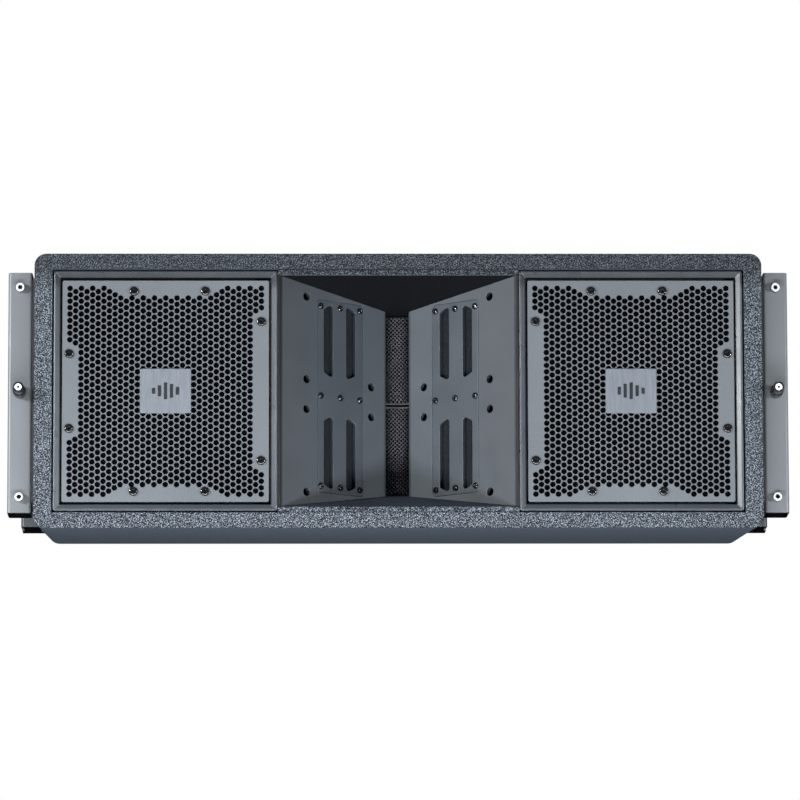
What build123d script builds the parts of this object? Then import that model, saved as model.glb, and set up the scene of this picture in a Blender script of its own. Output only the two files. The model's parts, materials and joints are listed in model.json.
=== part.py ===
from build123d import *
import os
from math import cos, hypot, radians, sin, sqrt, tan

# Frame: +X to the listener's right when facing the front, +Y to the rear, +Z up, millimetres.
# "Depth" is measured rearwards from the front plane of the cabinet.
FRONT_Y = -180.0

# Cabinet, a plywood tube that tapers top and bottom towards the rear
CABINET_DEPTH = 383.0
CABINET_HALF_W = 366.7
CABINET_HALF_H = 139.5
TAPER_DEG = 5.0
CORNER_R = 12.0
REAR_EDGE_R = 3.0
CAVITY_HALF_W = 348.4
WALL_H = 15.8
PANEL_GAP = 0.1
REAR_PANEL_DEPTH = (336.0, 354.0)
DIVIDER_X = (122.0, 131.5)
BAFFLE_DEPTH = (14.0, 32.0)

# Woofer bay: bezel, grille, foam, badge
BAY_X = 234.4
BEZEL_HALF = (112.5, 122.4)
BEZEL_INNER_HALF = (105.9, 115.5)
BEZEL_DEPTH = (0.5, 14.0)
GRILLE_HALF = (104.2, 112.8)
GRILLE_DEPTH = 5.0
SHEET = 1.5
HOLE_R = 2.7
HOLE_PITCH = 6.55
HOLE_COLUMNS = 35
HOLE_ROWS = 65
FOAM_HALF = (102.4, 111.0)
FOAM_THICKNESS = 3.0
BADGE_SIZE = (51.4, 45.4)
BADGE_THICKNESS = 1.2
GRILLE_SCREW_UV = [(32.1, 101.9), (-39.8, 101.9), (97.2, 38.0), (-96.2, 70.7)]
GRILLE_SCREW_R = 2.0
GRILLE_HEAD_R = 4.6

# Eight inch woofer: radius and depth of its main diameters
WOOFER_R = 100.0
WOOFER_REBATE = 8.0
WOOFER_CUTOUT_R = 90.5
WOOFER_SCREW_PCD = 95.6
WOOFER_SCREWS = 8
COIL_R = 25.0
DOME_R = 60.2
DOME_CENTRE = 90.2
DOME_WALL = 0.9

# Horn: sloped shelves, two wings, throat
HORN_HALF_W = 121.6
SHELF_FRONT_Z = 118.0
SHELF_SLOPE = 0.2445
SHELF_THICKNESS = 5.5
SHELF_DEPTH = (0.5, 104.8)
WING_START = (118.4, 2.0)
WING_ANGLE = 40.2
WING_LENGTH = 139.5
WING_THICKNESS = 5.0
THROAT_DEPTH = 104.8
SLOT_PLATE = (60.0, 196.6)
SLOT_PLATE_S = 78.75
SLOT_PLATE_THICKNESS = 2.5
SLOT_STRIPS = [(56.7, 68.9), (86.6, 99.0)]
MID_S = 78.0
MID_Z = 57.3
SLOT_CIRCLE_R = 38.6
SLOT_SCREW_S = [52.7, 78.6, 104.4]
SLOT_SCREW_Z = [-91.9, 0.0, 91.9]
WING_HOLES = [(34.0, 99.7), (34.0, 15.2), (120.0, 15.4)]
HF_Z = 47.0
HF_DEPTH = (105.0, 180.0, 222.0)

# Rigging on each side
PLATE_X = (366.75, 369.2)
CHANNEL_X = (369.2, 393.5)
CAVITY_X = (372.2, 390.5)
RIG_X = 381.35
SLIDE_GAP = 0.1
FRONT_CHANNEL_DEPTH = (15.0, 53.0)
FRONT_CAVITY_DEPTH = (18.0, 50.0)
FRONT_CHANNEL_HALF_H = 122.6
FRONT_BAR_Z = (-88.0, 118.0)
PIN_Z = 106.7
PIN_BORE_R = 4.1
REAR_CHANNEL_DEPTH = (326.0, 354.0)
REAR_CAVITY_DEPTH = (330.0, 350.0)
REAR_CHANNEL_HALF_H = 95.5
REAR_BAR_Z = (-56.0, 92.0)
REAR_FOOT_DEPTH = (336.0, 354.0)
REAR_FOOT_Z = (-98.5, -95.5)
REAR_PIN_Z = 78.0
REAR_PIN_R = 4.0
RUNNING_GAP = 0.05
RIG_BOLT_PLACES = [(62.0, 78.0), (62.0, -78.0), (292.0, 62.0), (292.0, -62.0)]
RIG_BOLT_R = 3.95
KNOB_DEPTH = (-23.0, -3.2)

WING_COS = cos(radians(WING_ANGLE))
WING_SIN = sin(radians(WING_ANGLE))


def y(depth):
    """Y of a depth behind the cabinet's front plane."""
    return FRONT_Y + depth


def half_height(depth, inset=0.0):
    """Half height of the tapered cabinet at a depth, less an inset."""
    return CABINET_HALF_H - inset - depth * tan(radians(TAPER_DEG))


def shelf_z(depth):
    """Height of the horn shelf's inner surface at a depth."""
    return SHELF_FRONT_Z - SHELF_SLOPE * depth


def mirrored(right):
    """The left-hand twin of a right-hand piece."""
    with BuildPart() as left:
        mirror(right.part, about=Plane.YZ)
    return left


def pair(right):
    """A right-hand piece and its left-hand twin as two solids."""
    with BuildPart() as both:
        add(right.part)
        mirror(right.part, about=Plane.YZ)
    return both


def tapered_outline(front, rear, inset):
    """Side outline between two depths, following the cabinet's taper."""
    Polygon(
        (y(front), half_height(front, inset)),
        (y(rear), half_height(rear, inset)),
        (y(rear), -half_height(rear, inset)),
        (y(front), -half_height(front, inset)),
        align=None,
    )


def box_between(xs, depths, zs, mode=Mode.ADD):
    """A box from its X, depth and Z limits."""
    with Locations((xs[0], y(depths[0]), zs[0])):
        Box(
            xs[1] - xs[0],
            depths[1] - depths[0],
            zs[1] - zs[0],
            align=(Align.MIN, Align.MIN, Align.MIN),
            mode=mode,
        )


def rod_y(x, z, radius, depths, mode=Mode.ADD):
    """A round bar or bore along Y between two depths."""
    middle = (depths[0] + depths[1]) / 2
    with Locations(Location((x, y(middle), z), (90, 0, 0))):
        Cylinder(radius, depths[1] - depths[0], mode=mode)


def rod_x(xs, depth, z, radius, mode=Mode.ADD):
    """A round bar or bore along X between two X positions."""
    with Locations(Location(((xs[0] + xs[1]) / 2, y(depth), z), (0, 90, 0))):
        Cylinder(radius, xs[1] - xs[0], mode=mode)


def turned_y(x, z, profile):
    """Revolve a closed (radius, depth) outline about an axis along Y."""
    with BuildSketch(Plane((x, FRONT_Y, z), x_dir=(1, 0, 0), z_dir=(0, 0, 1))) as section:
        Polygon(*profile, align=None)
    revolve(section.sketch, axis=Axis((x, 0, z), (0, 1, 0)))


def wing_plane():
    """Front surface of the right wing: local x runs to the throat, local z faces the listener."""
    return Plane(
        (WING_START[0], y(WING_START[1]), 0),
        x_dir=(-WING_COS, WING_SIN, 0),
        z_dir=(-WING_SIN, -WING_COS, 0),
    )


def wing_point(s, rise):
    """Plan position (X, depth) of a point on the wing, rise being towards the listener."""
    return (
        WING_START[0] - s * WING_COS - rise * WING_SIN,
        WING_START[1] + s * WING_SIN - rise * WING_COS,
    )


def slot_sketch(extra):
    """The four curved-end slots over one pair of midrange cones."""
    with Locations((MID_S, MID_Z), (MID_S, -MID_Z)):
        Circle(SLOT_CIRCLE_R + extra)
    edges = [MID_S - 2 * SLOT_CIRCLE_R]
    for strip in SLOT_STRIPS:
        edges += [strip[0] - extra, strip[1] + extra]
    edges.append(MID_S + 2 * SLOT_CIRCLE_R)
    for left, right in [edges[0:2], edges[2:4], edges[4:6]]:
        with Locations(((left + right) / 2, 0)):
            Rectangle(right - left, 4 * SLOT_CIRCLE_R + 2 * MID_Z, mode=Mode.SUBTRACT)


def make_carcass():
    with BuildPart() as carcass:
        with BuildSketch(Plane.YZ):
            tapered_outline(0, CABINET_DEPTH, 0)
        extrude(amount=CABINET_HALF_W, both=True)
        long_edges = carcass.edges().filter_by(lambda edge: edge.bounding_box().size.Y > CABINET_DEPTH / 2)
        fillet(long_edges, radius=CORNER_R)
        fillet(carcass.faces().sort_by(Axis.Y)[-1].outer_wire().edges(), radius=REAR_EDGE_R)
        with BuildSketch(Plane.YZ):
            tapered_outline(-1, CABINET_DEPTH + 1, WALL_H)
        extrude(amount=CAVITY_HALF_W, both=True, mode=Mode.SUBTRACT)
        for depth, z in RIG_BOLT_PLACES:
            for side in (-1, 1):
                xs = sorted((side * (CAVITY_HALF_W - 1), side * (CABINET_HALF_W + 1)))
                rod_x(xs, depth, z, RIG_BOLT_R + RUNNING_GAP, mode=Mode.SUBTRACT)
    return carcass


def make_rear_panel():
    half_h = half_height(REAR_PANEL_DEPTH[1], WALL_H) - PANEL_GAP
    half_w = CAVITY_HALF_W - PANEL_GAP
    with BuildPart() as panel:
        box_between((-half_w, half_w), REAR_PANEL_DEPTH, (-half_h, half_h))
        for x in (-BAY_X, BAY_X):
            box_between((x - 56, x + 56), (330, 360), (-31, 31), mode=Mode.SUBTRACT)
        for x in (-24, 24):
            rod_y(x, -45, 13.0, (330, 360), mode=Mode.SUBTRACT)
        outside = panel.faces().sort_by(Axis.Y)[-1]
        chamfer(outside.outer_wire().edges(), length=1.0)
    return panel


def make_divider():
    with BuildPart() as divider:
        with BuildSketch(Plane.YZ.offset(DIVIDER_X[0])):
            tapered_outline(BAFFLE_DEPTH[0], REAR_PANEL_DEPTH[0], WALL_H + PANEL_GAP)
        extrude(amount=DIVIDER_X[1] - DIVIDER_X[0])
    return divider


def make_baffle():
    half_h = half_height(BAFFLE_DEPTH[1], WALL_H) - PANEL_GAP
    with BuildPart() as baffle:
        box_between((DIVIDER_X[1], CAVITY_HALF_W - PANEL_GAP), BAFFLE_DEPTH, (-half_h, half_h))
        rod_y(BAY_X, 0, WOOFER_CUTOUT_R, (0, 40), mode=Mode.SUBTRACT)
        rebate_end = BAFFLE_DEPTH[0] + WOOFER_REBATE
        rod_y(BAY_X, 0, WOOFER_R + 0.5, (0, rebate_end), mode=Mode.SUBTRACT)
        for x, z in grille_screw_places():
            rod_y(x, z, GRILLE_SCREW_R + RUNNING_GAP, (10, 27), mode=Mode.SUBTRACT)
        for x, z in woofer_screw_places():
            rod_y(x, z, 2.05, (20, 34), mode=Mode.SUBTRACT)
    return baffle


def make_bezel():
    half_w, half_h = BEZEL_HALF
    with BuildPart() as bezel:
        with BuildSketch(Plane.XZ.offset(-y(BEZEL_DEPTH[1]))):
            with Locations((BAY_X, 0)):
                RectangleRounded(2 * half_w, 2 * half_h, 2.5)
                Rectangle(2 * BEZEL_INNER_HALF[0], 2 * BEZEL_INNER_HALF[1], mode=Mode.SUBTRACT)
        extrude(amount=BEZEL_DEPTH[1] - BEZEL_DEPTH[0])
        face = bezel.faces().sort_by(Axis.Y)[0]
        chamfer(face.inner_wires()[0].edges(), length=3.4, length2=4.6)
        front = bezel.faces().sort_by(Axis.Y)[0]
        fillet(front.outer_wire().edges(), radius=0.9)
    return bezel


def hole_centres():
    """Centres of the grille perforations, columns numbered from the outer edge inwards."""
    centres = []
    for column in range(1, HOLE_COLUMNS + 1):
        x = BAY_X + (HOLE_COLUMNS / 2 + 0.5 - column) * HOLE_PITCH * sqrt(3) / 2
        from_side = min(column, HOLE_COLUMNS + 1 - column)
        first = max(0, min(3, from_side - 7))
        for step in range(first, HOLE_ROWS - first):
            from_end = min(step, HOLE_ROWS - 1 - step)
            if (step + column) % 2 == 0:
                continue
            if column <= 2 and from_end > 17:
                continue
            if column >= HOLE_COLUMNS - 1 and from_end > 7:
                continue
            centres.append((x, (HOLE_ROWS // 2 - step) * HOLE_PITCH / 2))
    return centres


def grille_screw_places():
    places = []
    for across, height in GRILLE_SCREW_UV:
        places += [(BAY_X + across, height), (BAY_X + across, -height)]
    return places


def make_grille():
    clear = HOLE_R + GRILLE_SCREW_R + 0.4
    screws = grille_screw_places()
    holes = [(x, z, GRILLE_SCREW_R + 0.15) for x, z in screws]
    for x, z in hole_centres():
        if all(hypot(x - sx, z - sz) > clear for sx, sz in screws):
            holes.append((x, z, HOLE_R))
    front = y(GRILLE_DEPTH)
    with BuildSketch(Plane.XZ.offset(-front)) as outline:
        with Locations((BAY_X, 0)):
            RectangleRounded(2 * GRILLE_HALF[0], 2 * GRILLE_HALF[1], 2.0)
    rims = [Wire.make_circle(r, Plane((x, front, z), x_dir=(1, 0, 0), z_dir=(0, -1, 0))) for x, z, r in holes]
    sheet = outline.sketch.face().make_holes(rims)
    with BuildPart() as grille:
        extrude(sheet, amount=-SHEET)
        with BuildSketch(Plane.XZ.offset(-(front + SHEET))):
            with Locations((BAY_X, 0)):
                RectangleRounded(2 * GRILLE_HALF[0], 2 * GRILLE_HALF[1], 2.0)
                inside = (2 * GRILLE_HALF[0] - 2 * SHEET, 2 * GRILLE_HALF[1] - 2 * SHEET)
                RectangleRounded(*inside, 0.5, mode=Mode.SUBTRACT)
        extrude(amount=-(BEZEL_DEPTH[1] - GRILLE_DEPTH - SHEET))
    return grille


def make_foam():
    front = y(GRILLE_DEPTH + SHEET)
    with BuildPart() as foam:
        with BuildSketch(Plane.XZ.offset(-front)):
            with Locations((BAY_X, 0)):
                RectangleRounded(2 * FOAM_HALF[0], 2 * FOAM_HALF[1], 1.5)
            with Locations(*grille_screw_places()):
                Circle(GRILLE_SCREW_R + 0.2, mode=Mode.SUBTRACT)
        extrude(amount=-FOAM_THICKNESS)
    return foam


def make_badge():
    """Plain plate with a generic mark of five level bars."""
    face = y(GRILLE_DEPTH - BADGE_THICKNESS)
    with BuildPart() as badge:
        with BuildSketch(Plane.XZ.offset(-y(GRILLE_DEPTH))):
            with Locations((BAY_X, 0)):
                RectangleRounded(BADGE_SIZE[0], BADGE_SIZE[1], 1.6)
        extrude(amount=BADGE_THICKNESS)
        chamfer(badge.faces().sort_by(Axis.Y)[0].edges(), length=0.4)
        with BuildSketch(Plane.XZ.offset(-face)):
            for index, height in enumerate([8.0, 14.0, 17.0, 11.0, 6.0]):
                with Locations((BAY_X + (index - 2) * 6.0, 0)):
                    RectangleRounded(3.2, height, 0.6)
        extrude(amount=0.4)
    return badge


def button_screw(x, z, face, head_r, head_h, shank_r, length, socket_r):
    """Button head on a face depth, hex socket, shank running rearwards."""
    with BuildPart() as screw:
        rod_y(x, z, head_r, (face - head_h, face))
        fillet(screw.edges().sort_by(Axis.Y)[0], radius=head_h * 0.72)
        with BuildSketch(Plane.XZ.offset(-y(face - head_h))):
            with Locations((x, z)):
                RegularPolygon(socket_r, 6)
        extrude(amount=-head_h * 0.6, mode=Mode.SUBTRACT)
        rod_y(x, z, shank_r, (face, face + length))
    return screw


def make_grille_screws():
    with BuildPart() as screws:
        for x, z in grille_screw_places():
            add(button_screw(x, z, GRILLE_DEPTH, GRILLE_HEAD_R, 2.6, GRILLE_SCREW_R, 21, 1.7).part)
    return screws


def woofer_screw_places():
    step = 360 / WOOFER_SCREWS
    places = []
    for index in range(WOOFER_SCREWS):
        angle = radians((index + 0.5) * step)
        places.append((BAY_X + WOOFER_SCREW_PCD * cos(angle), WOOFER_SCREW_PCD * sin(angle)))
    return places


def make_woofer_screws():
    with BuildPart() as screws:
        for x, z in woofer_screw_places():
            add(button_screw(x, z, 18, 3.2, 2.4, 2.0, 13, 1.4).part)
    return screws


def make_basket():
    profile = [
        (WOOFER_R, 18), (WOOFER_R, 22), (89.5, 22), (83, 46), (66, 78), (66, 82), (28, 82), (28, 78.5),
        (60, 78.5), (65, 68), (65, 64), (70, 64), (80.2, 46), (87, 24), (87, 18),
    ]
    with BuildPart() as basket:
        turned_y(BAY_X, 0, profile)
        for x, z in woofer_screw_places():
            rod_y(x, z, 2.1, (15, 25), mode=Mode.SUBTRACT)
        for index in range(6):
            with Locations(Location((BAY_X, y(44), 0), (0, index * 60, 0)) * Location((78, 0, 0))):
                Box(40, 28, 52, mode=Mode.SUBTRACT)
    return basket


def make_top_plate():
    with BuildPart() as plate:
        turned_y(BAY_X, 0, [(27, 82), (62, 82), (62, 88), (27, 88)])
    return plate


def make_magnet():
    with BuildPart() as magnet:
        turned_y(BAY_X, 0, [(33, 88), (67, 88), (67, 106), (33, 106)])
        chamfer(magnet.edges().group_by(Axis.Y)[0], length=0.8)
    return magnet


def make_yoke():
    profile = [(0, 84), (23.6, 84), (23.6, 106), (63, 106), (63, 110), (56, 114), (0, 114)]
    with BuildPart() as yoke:
        turned_y(BAY_X, 0, profile)
    return yoke


def make_surround():
    with BuildPart() as surround:
        with BuildSketch(Plane((BAY_X, FRONT_Y, 0), x_dir=(1, 0, 0), z_dir=(0, 0, 1))):
            with BuildLine():
                Polyline((91.6, 18), (91.6, 17.2), (87.5, 17.2))
                ThreePointArc((87.5, 17.2), (82.0, 11.9), (76.5, 17.2))
                Polyline((76.5, 17.2), (72, 17.2), (72, 18), (77.3, 18))
                ThreePointArc((77.3, 18), (82.0, 12.7), (86.7, 18))
                Line((86.7, 18), (91.6, 18))
            make_face()
        revolve(axis=Axis((BAY_X, 0, 0), (0, 1, 0)))
    return surround


def make_spider():
    """Corrugated cloth disc from the voice coil to the basket shelf."""
    outer = [(69.6, 63.9), (69.6, 63.3), (66, 63.3)]
    rolls = [(62, 61.3), (58, 64.3), (54, 61.3), (50, 64.3), (46, 61.3), (42, 64.3), (38, 61.3), (34, 63.3)]
    front = outer[1:] + rolls + [(COIL_R + 0.6, 63.3)]
    back = [(radius, depth + 0.6) for radius, depth in reversed(front)]
    with BuildPart() as spider:
        turned_y(BAY_X, 0, front + back)
    return spider


def make_cone():
    neck = COIL_R + 0.6
    profile = [(76.5, 18), (76.5, 19), (74, 19.4), (27, 52.4), (neck, 52.4), (neck, 50.8), (72.5, 18)]
    with BuildPart() as cone:
        turned_y(BAY_X, 0, profile)
    return cone


def outer_arc(radius):
    """Depth of the dust cap's front, a sphere centred on the woofer's axis."""
    return DOME_CENTRE - sqrt(DOME_R**2 - radius**2)


def inner_arc(radius):
    """Depth of the dust cap's back."""
    return DOME_CENTRE - sqrt((DOME_R - DOME_WALL) ** 2 - radius**2)


def make_dust_cap():
    with BuildPart() as cap:
        with BuildSketch(Plane((BAY_X, FRONT_Y, 0), x_dir=(1, 0, 0), z_dir=(0, 0, 1))):
            with BuildLine():
                ThreePointArc((0, outer_arc(0)), (20, outer_arc(20)), (37, outer_arc(37)))
                Line((37, outer_arc(37)), (36, inner_arc(36)))
                ThreePointArc((36, inner_arc(36)), (20, inner_arc(20)), (0, inner_arc(0)))
                Line((0, inner_arc(0)), (0, outer_arc(0)))
            make_face()
        revolve(axis=Axis((BAY_X, 0, 0), (0, 1, 0)))
    return cap


def make_voice_coil():
    profile = [(COIL_R, 50), (COIL_R + 0.6, 50), (COIL_R + 0.6, 79), (26.4, 79), (26.4, 91), (COIL_R, 91)]
    with BuildPart() as coil:
        turned_y(BAY_X, 0, profile)
    return coil


def make_shelf():
    """Upper horn shelf with its flat front lip."""
    front, rear = SHELF_DEPTH
    with BuildPart() as shelf:
        with BuildSketch(Plane.YZ.offset(-HORN_HALF_W)):
            Polygon(
                (y(front), shelf_z(front)),
                (y(front), half_height(front, WALL_H) - 0.3),
                (y(12), half_height(12, WALL_H) - 0.3),
                (y(rear), shelf_z(rear) + SHELF_THICKNESS),
                (y(rear), shelf_z(rear)),
                align=None,
            )
        extrude(amount=2 * HORN_HALF_W)
        fillet(shelf.edges().filter_by(Axis.X).sort_by(Axis.Y)[0:2].sort_by(Axis.Z)[0], radius=1.2)
    return shelf


def make_shelves(shelf):
    with BuildPart() as shelves:
        add(shelf.part)
        mirror(shelf.part, about=Plane.XY)
    return shelves


def make_wing():
    throat = wing_point(WING_LENGTH, 0)
    back_throat_x = throat[0] + WING_THICKNESS
    back_start = wing_point(0, -WING_THICKNESS)
    slope = WING_SIN / WING_COS
    back_throat = (back_throat_x, back_start[1] + (back_start[0] - back_throat_x) * slope)
    lip_x = HORN_HALF_W - 0.1
    back_lip = (lip_x, back_start[1] + (back_start[0] - lip_x) * slope)
    plan = [
        (lip_x, 0.6), (119.8, 0.6), WING_START, throat, (throat[0], THROAT_DEPTH),
        (back_throat_x, THROAT_DEPTH), back_throat, back_lip,
    ]
    with BuildPart() as wing:
        with BuildSketch(Plane.XY.offset(-SHELF_FRONT_Z)) as section:
            Polygon(*[(x, y(depth)) for x, depth in plan], align=None)
            lip = section.vertices().sort_by_distance((throat[0], y(throat[1]), -SHELF_FRONT_Z))[0]
            fillet(lip, radius=6)
        extrude(amount=2 * SHELF_FRONT_Z)
        with BuildSketch(Plane.YZ):
            Polygon(
                (y(-1), shelf_z(-1) - 0.15),
                (y(110), shelf_z(110) - 0.15),
                (y(110), -shelf_z(110) + 0.15),
                (y(-1), -shelf_z(-1) + 0.15),
                align=None,
            )
        extrude(amount=2 * HORN_HALF_W, mode=Mode.INTERSECT)
        with BuildSketch(wing_plane()):
            with Locations((SLOT_PLATE_S, 0)):
                RectangleRounded(SLOT_PLATE[0] + 0.7, SLOT_PLATE[1] + 0.7, 4.3)
        extrude(amount=-SLOT_PLATE_THICKNESS, mode=Mode.SUBTRACT)
        with BuildSketch(wing_plane()):
            slot_sketch(0.6)
            with Locations(*[(s, z) for s in SLOT_SCREW_S for z in SLOT_SCREW_Z]):
                Circle(1.6)
            with Locations(*[(s, sign * z) for s, z in WING_HOLES for sign in (-1, 1)]):
                Circle(4.25)
        extrude(amount=-2 * WING_THICKNESS, mode=Mode.SUBTRACT)
    return wing


def make_slot_plate():
    with BuildPart() as plate:
        with BuildSketch(wing_plane().offset(-SLOT_PLATE_THICKNESS)):
            with Locations((SLOT_PLATE_S, 0)):
                RectangleRounded(SLOT_PLATE[0], SLOT_PLATE[1], 4.0)
            with Locations(*[(s, z) for s in SLOT_SCREW_S for z in SLOT_SCREW_Z]):
                Circle(1.6, mode=Mode.SUBTRACT)
        extrude(amount=SLOT_PLATE_THICKNESS)
        with BuildSketch(wing_plane()) as slots:
            slot_sketch(0)
            fillet(slots.vertices(), radius=3.0)
        extrude(amount=-2 * SLOT_PLATE_THICKNESS, mode=Mode.SUBTRACT)
    return plate


def make_slot_screws():
    with BuildPart() as screw:
        Cylinder(3.25, 2.0, align=(Align.CENTER, Align.CENTER, Align.MIN))
        fillet(screw.edges().sort_by(Axis.Z)[-1], radius=1.4)
        with BuildSketch(Plane.XY.offset(2.0)):
            RegularPolygon(1.2, 6)
        extrude(amount=-1.2, mode=Mode.SUBTRACT)
        with Locations((0, 0, 0)):
            Cylinder(1.55, 4.9, align=(Align.CENTER, Align.CENTER, Align.MAX))
    plane = wing_plane()
    with BuildPart() as screws:
        for s in SLOT_SCREW_S:
            for z in SLOT_SCREW_Z:
                add(screw.part.moved(plane.location * Location((s, z, 0))))
    return screws


def make_slot_fabric():
    with BuildPart() as fabric:
        with BuildSketch(wing_plane().offset(-WING_THICKNESS)):
            with Locations((MID_S, 0)):
                Rectangle(52, 2 * 97)
        extrude(amount=-0.6)
    return fabric


def on_wing(profile):
    """Two turned solids on the wing's driver centres; radius, height above the wing surface."""
    with BuildPart() as turned:
        with BuildSketch(Plane.XZ):
            Polygon(*profile, align=None)
        revolve(axis=Axis.Z)
    plane = wing_plane()
    with BuildPart() as both:
        for z in (-MID_Z, MID_Z):
            add(turned.part.moved(plane.location * Location((MID_S, z, 0))))
    return both


def make_mid_baskets():
    return on_wing([
        (45.3, -5.7), (45.3, -9.2), (41, -9.2), (30, -30), (30, -32.5), (11, -32.5),
        (11, -30.5), (27.4, -30.5), (37, -10), (37, -8.3), (40.5, -8.3), (40.5, -5.7),
    ])


def make_mid_motors():
    return on_wing([
        (10.9, -32.5), (28, -32.5), (28, -50), (26, -52), (0, -52), (0, -33), (9, -33), (9, -46), (10.9, -46),
    ])


def make_mid_cones():
    """Cone, dome and voice coil former of each midrange driver."""
    return on_wing([
        (34, -8.3), (34, -9.1), (32, -9.1), (11.5, -24.5), (10.2, -24.5), (10.2, -37), (9.6, -37),
        (9.6, -21.5), (0, -17.5), (0, -16.8), (9, -20), (12.6, -21.6), (31.4, -8.3),
    ])


def make_mid_surrounds():
    return on_wing([
        (40.4, -7.7), (40.4, -8.3), (37.6, -8.3), (36.4, -7.0), (35.2, -7.0), (34, -8.3), (31.6, -8.3),
        (31.6, -7.7), (33.8, -7.7), (35, -6.3), (36.6, -6.3), (37.8, -7.7),
    ])


def make_waveguide():
    """Upper wave-shaping horn from the compression driver to the tall throat slot."""
    front, rear = HF_DEPTH[0], HF_DEPTH[1]
    with BuildPart() as guide:
        with BuildSketch(Plane.XZ.offset(-y(front))):
            with Locations((0, 46.6)):
                Rectangle(40, 90.6)
        with BuildSketch(Plane.XZ.offset(-y(rear))):
            with Locations((0, HF_Z)):
                Rectangle(60, 86)
        loft()
        with BuildSketch(Plane.XZ.offset(-y(front))):
            with Locations((0, 46.6)):
                Rectangle(22, 87)
        with BuildSketch(Plane.XZ.offset(-y(rear))):
            with Locations((0, HF_Z)):
                Circle(12.5)
        loft(mode=Mode.SUBTRACT)
        box_between((-11.5, 11.5), (103.2, 105.2), (1.4, 2.2))
    return guide


def make_pair_over_middle(upper):
    """An upper piece and its twin below mid-height."""
    with BuildPart() as both:
        add(upper.part)
        mirror(upper.part, about=Plane.XY)
    return both


def make_screen():
    with BuildPart() as screen:
        box_between((-11.7, 11.7), (103.6, 104.4), (2.3, 91.6))
    return screen


def make_hf_driver():
    start, end = HF_DEPTH[1], HF_DEPTH[2]
    profile = [
        (43, start), (43, end - 3), (40, end), (0, end), (0, start + 16), (27, start + 16),
        (27, start + 6), (12.5, start + 6), (12.5, start),
    ]
    with BuildPart() as driver:
        turned_y(0, HF_Z, profile)
    return driver


def make_diaphragm():
    with BuildPart() as diaphragm:
        turned_y(0, HF_Z, [
            (26, 190.4), (26, 190.8), (21, 190.8), (14, 193.4), (7, 194.6), (0, 194.9), (0, 194.5),
            (7, 194.2), (14, 193), (21, 190.4),
        ])
    return diaphragm


def make_crossover_board():
    with BuildPart() as board:
        box_between((-100, 100), (334.3, 335.9), (-18, 74))
        for x in (-94, 94):
            for z in (-12, 68):
                rod_y(x, z, 2.0, (330, 340), mode=Mode.SUBTRACT)
    return board


def make_crossover_parts():
    """Coils and capacitors standing on the board."""
    with BuildPart() as parts:
        for x, z, radius in [(-68, 42, 24), (66, 40, 21), (-66, -4, 12), (70, -4, 12)]:
            turned_y(x, z, [(radius * 0.4, 316), (radius, 316), (radius, 334.3), (radius * 0.4, 334.3)])
        for x in (-30, -8, 14, 36):
            with Locations((x, y(325), 44)):
                Box(16, 18.6, 40)
            with Locations((x, y(327), -4)):
                Box(14, 14.6, 22)
    return parts


def make_input_panel():
    with BuildPart() as panel:
        with BuildSketch(Plane.XZ.offset(-y(REAR_PANEL_DEPTH[1]))):
            with Locations((0, -45)):
                RectangleRounded(120, 62, 4)
            with Locations((-24, -45), (24, -45)):
                Circle(12.2, mode=Mode.SUBTRACT)
        extrude(amount=-3)
        chamfer(panel.faces().sort_by(Axis.Y)[-1].outer_wire().edges(), length=0.8)
    return panel


def make_input_connectors():
    """Twist-lock sockets: body through the panel, square flange, keyed round socket."""
    outer = [
        (12, 331), (12, 357), (12.6, 357), (12.6, 368), (10.6, 368),
        (10.6, 342), (5, 342), (5, 366), (0, 366), (0, 331),
    ]
    with BuildPart() as connectors:
        for x in (-24, 24):
            turned_y(x, -45, outer)
            with BuildSketch(Plane.XZ.offset(-y(357))):
                with Locations((x, -45)):
                    RectangleRounded(27, 33, 3)
                    Circle(12.6, mode=Mode.SUBTRACT)
            extrude(amount=-2.2)
    return connectors


def make_handle_cup():
    with BuildPart() as cup:
        with BuildSketch(Plane.XZ.offset(-y(REAR_PANEL_DEPTH[1]))):
            with Locations((BAY_X, 0)):
                RectangleRounded(134, 84, 8)
        extrude(amount=-3)
        box_between((BAY_X - 55.5, BAY_X + 55.5), (312, 354), (-30.5, 30.5))
        box_between((BAY_X - 53, BAY_X + 53), (314.5, 360), (-28, 28), mode=Mode.SUBTRACT)
        with Locations(Location((BAY_X, y(350), 18), (0, 90, 0))):
            Cylinder(7, 106)
    return cup


def make_side_plate():
    with BuildPart() as plate:
        with BuildSketch(Plane.YZ.offset(PLATE_X[0])):
            Polygon(
                (y(16), 111), (y(24), 118.5), (y(350), 94), (y(358), 86),
                (y(358), -86), (y(350), -94), (y(24), -118.5), (y(16), -111),
                align=None,
            )
            with Locations((y(175), 0)):
                RectangleRounded(170, 120, 12, mode=Mode.SUBTRACT)
        extrude(amount=PLATE_X[1] - PLATE_X[0])
        for depth, z in RIG_BOLT_PLACES:
            rod_x((PLATE_X[0] - 1, PLATE_X[1] + 1), depth, z, RIG_BOLT_R + RUNNING_GAP, mode=Mode.SUBTRACT)
    return plate


def channel(depths, cavity_depths, half_h):
    """Rectangular guide tube with rounded outer corners, open at both ends."""
    width = CHANNEL_X[1] - CHANNEL_X[0]
    length = depths[1] - depths[0]
    with BuildPart() as tube:
        with BuildSketch(Plane.XY.offset(-half_h)):
            with Locations(((CHANNEL_X[0] + CHANNEL_X[1]) / 2, y((depths[0] + depths[1]) / 2))):
                RectangleRounded(width, length, 3.0)
        extrude(amount=2 * half_h)
        box_between(CAVITY_X, cavity_depths, (-half_h - 1, half_h + 1), mode=Mode.SUBTRACT)
        ends = tube.faces().filter_by(Axis.Z)
        chamfer([edge for end in ends for edge in end.outer_wire().edges()], length=0.6)
    return tube


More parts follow.
